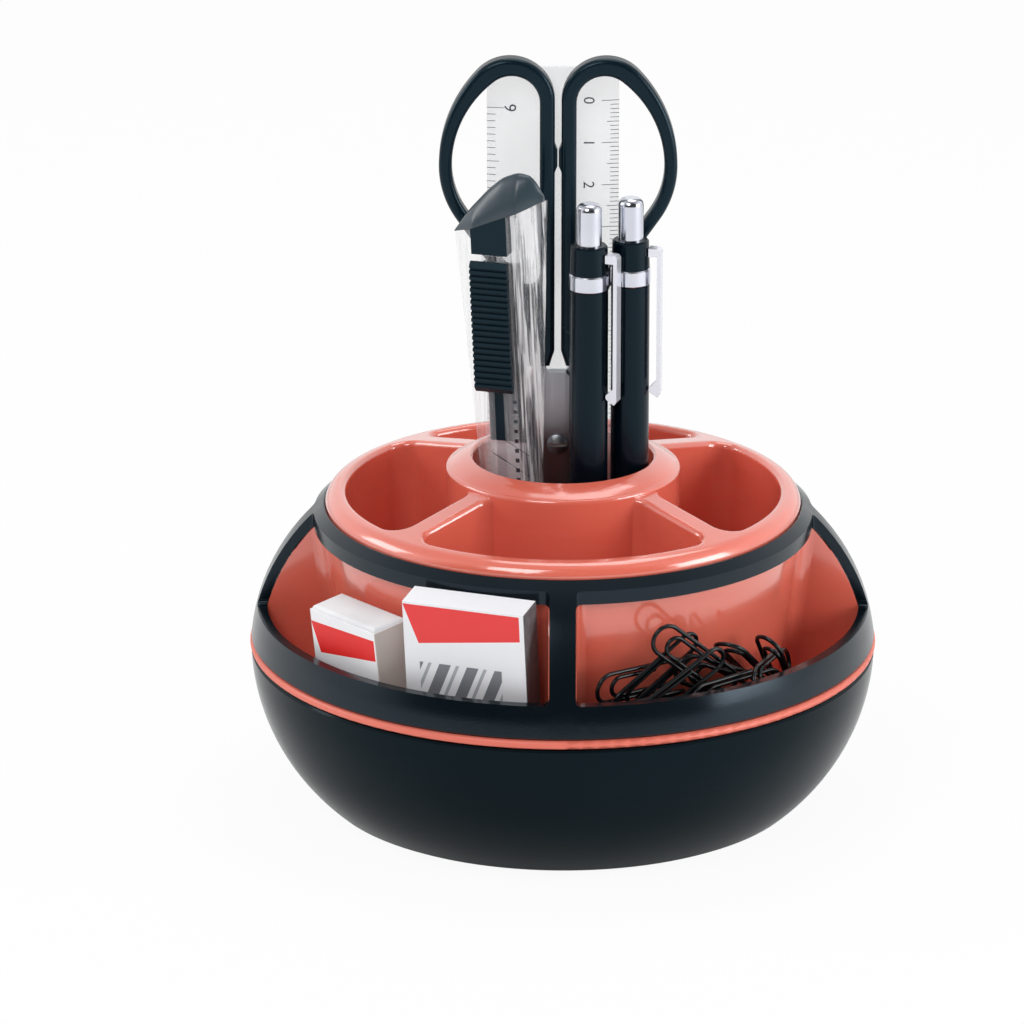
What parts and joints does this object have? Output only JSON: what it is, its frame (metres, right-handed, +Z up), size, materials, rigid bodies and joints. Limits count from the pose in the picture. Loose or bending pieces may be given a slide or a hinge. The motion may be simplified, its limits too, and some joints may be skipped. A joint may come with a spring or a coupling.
{
  "type": "rotating desk organiser",
  "caption": "Round rotating desk organiser with a black bowl, coral trays and windowed trim, holding scissors, a ruler, a snap-off knife, click pens and small items.",
  "frame": {"origin": "centre of the footprint on the desk, under the carousel's axis", "axes": "+Z up along the carousel's axis, -Y towards the front compartments, +X to the right seen from the front"},
  "size_m": [0.1454, 0.1452, 0.1765],
  "materials": {
    "black_plastic": "satin",
    "coral_plastic": "semi-gloss",
    "base_plastic": "fine grain",
    "foot_rubber": "matte",
    "bearing_steel": "plain",
    "screw_steel": "plain",
    "cage_plastic": "plain",
    "clip_wire": "black coated",
    "grip_plastic": "satin",
    "blade_steel": "brushed",
    "ruler_plastic": "clear",
    "knife_plastic": "smoky clear",
    "slider_plastic": "ribbed",
    "pen_black": "satin",
    "pen_silver": "satin",
    "refill_plastic": "plain",
    "spring_steel": "plain",
    "eraser_rubber": "matte",
    "white_card": "card with a bare red panel",
    "staple_steel": "plain"
  },
  "bodies": {
    "base": {"base_plate": "base_plastic", "rubber_feet": "foot_rubber", "lower_race": "bearing_steel", "centre_screw": "screw_steel", "centre_washer": "screw_steel"},
    "bearing_cage": {"ball_retainer": "cage_plastic", "bearing_balls": "bearing_steel"},
    "carousel": {"bowl": "black_plastic", "upper_race": "bearing_steel", "outer_tray": "coral_plastic", "inner_tray": "coral_plastic", "trim_frame": "black_plastic", "tray_screws": "screw_steel", "cup_screws": "screw_steel", "paper_clips": "clip_wire"},
    "scissors": {"scissors_right_handle": "grip_plastic", "scissors_back_blade": "blade_steel", "scissors_screw": "screw_steel"},
    "scissors_left": {"scissors_left_handle": "grip_plastic", "scissors_front_blade": "blade_steel"},
    "ruler": {"ruler": "ruler_plastic"},
    "knife": {"knife_body": "knife_plastic", "knife_end_cap": "knife_plastic"},
    "knife_slide": {"knife_slider": "slider_plastic", "knife_blade": "blade_steel"},
    "eraser": {"eraser": "eraser_rubber", "eraser_sleeve": "white_card"},
    "staples": {"staple_carton": "white_card", "staple_strips": "staple_steel"},
    "pen_1": {"pen_1_barrel": "pen_black", "pen_1_nose": "pen_black", "pen_1_ring": "pen_silver", "pen_1_cap": "pen_black", "pen_1_clip": "pen_silver", "pen_1_spring": "spring_steel"},
    "pen_1_click": {"pen_1_button": "pen_silver", "pen_1_refill": "refill_plastic"},
    "pen_2": {"pen_2_barrel": "pen_black", "pen_2_nose": "pen_black", "pen_2_ring": "pen_silver", "pen_2_cap": "pen_black", "pen_2_clip": "pen_silver", "pen_2_spring": "spring_steel"},
    "pen_2_click": {"pen_2_button": "pen_silver", "pen_2_refill": "refill_plastic"}
  },
  "joints": [
    {"name": "carousel_spin", "type": "hinge", "parent": "base", "child": "carousel", "pos_m": [0, 0, 0.0053], "axis": [0, 0, 1], "continuous": true},
    {"name": "bearing_cage_spin", "type": "hinge", "parent": "base", "child": "bearing_cage", "pos_m": [0, 0, 0.0053], "axis": [0, 0, 1], "continuous": true},
    {"name": "scissors_lift", "type": "slide", "parent": "carousel", "child": "scissors", "axis": [0, 0, 1], "range_m": [0, 0.09]},
    {"name": "scissors_open", "type": "hinge", "parent": "scissors", "child": "scissors_left", "pos_m": [-0.0013, 0.0042, 0.0846], "axis": [0, -1, 0], "range_deg": [0, 12]},
    {"name": "ruler_lift", "type": "slide", "parent": "carousel", "child": "ruler", "axis": [0, 0, 1], "range_m": [0, 0.09]},
    {"name": "knife_lift", "type": "slide", "parent": "carousel", "child": "knife", "axis": [-0.0423, -0.049, 0.9979], "range_m": [0, 0.09]},
    {"name": "knife_blade_slide", "type": "slide", "parent": "knife", "child": "knife_slide", "axis": [0.0423, 0.049, -0.9979], "range_m": [0, 0.004]},
    {"name": "eraser_lift", "type": "slide", "parent": "carousel", "child": "eraser", "axis": [-0.0917, -0.0803, 0.9925], "range_m": [0, 0.05]},
    {"name": "staples_lift", "type": "slide", "parent": "carousel", "child": "staples", "axis": [-0.0417, -0.1145, 0.9925], "range_m": [0, 0.05]},
    {"name": "pen_1_lift", "type": "slide", "parent": "carousel", "child": "pen_1", "axis": [0, 0, 1], "range_m": [0, 0.09]},
    {"name": "pen_1_press", "type": "slide", "parent": "pen_1", "child": "pen_1_click", "axis": [0, 0, -1], "range_m": [0, 0.0036], "stiffness_N_per_m": 250, "springref_m": -0.003, "deforming": ["pen_1_spring"]},
    {"name": "pen_2_lift", "type": "slide", "parent": "carousel", "child": "pen_2", "axis": [0, 0, 1], "range_m": [0, 0.09]},
    {"name": "pen_2_press", "type": "slide", "parent": "pen_2", "child": "pen_2_click", "axis": [0, 0, -1], "range_m": [0, 0.0036], "stiffness_N_per_m": 250, "springref_m": -0.003, "deforming": ["pen_2_spring"]}
  ],
  "couplings": [
    {"joint": "bearing_cage_spin", "follows": "carousel_spin", "ratio": 0.5}
  ]
}
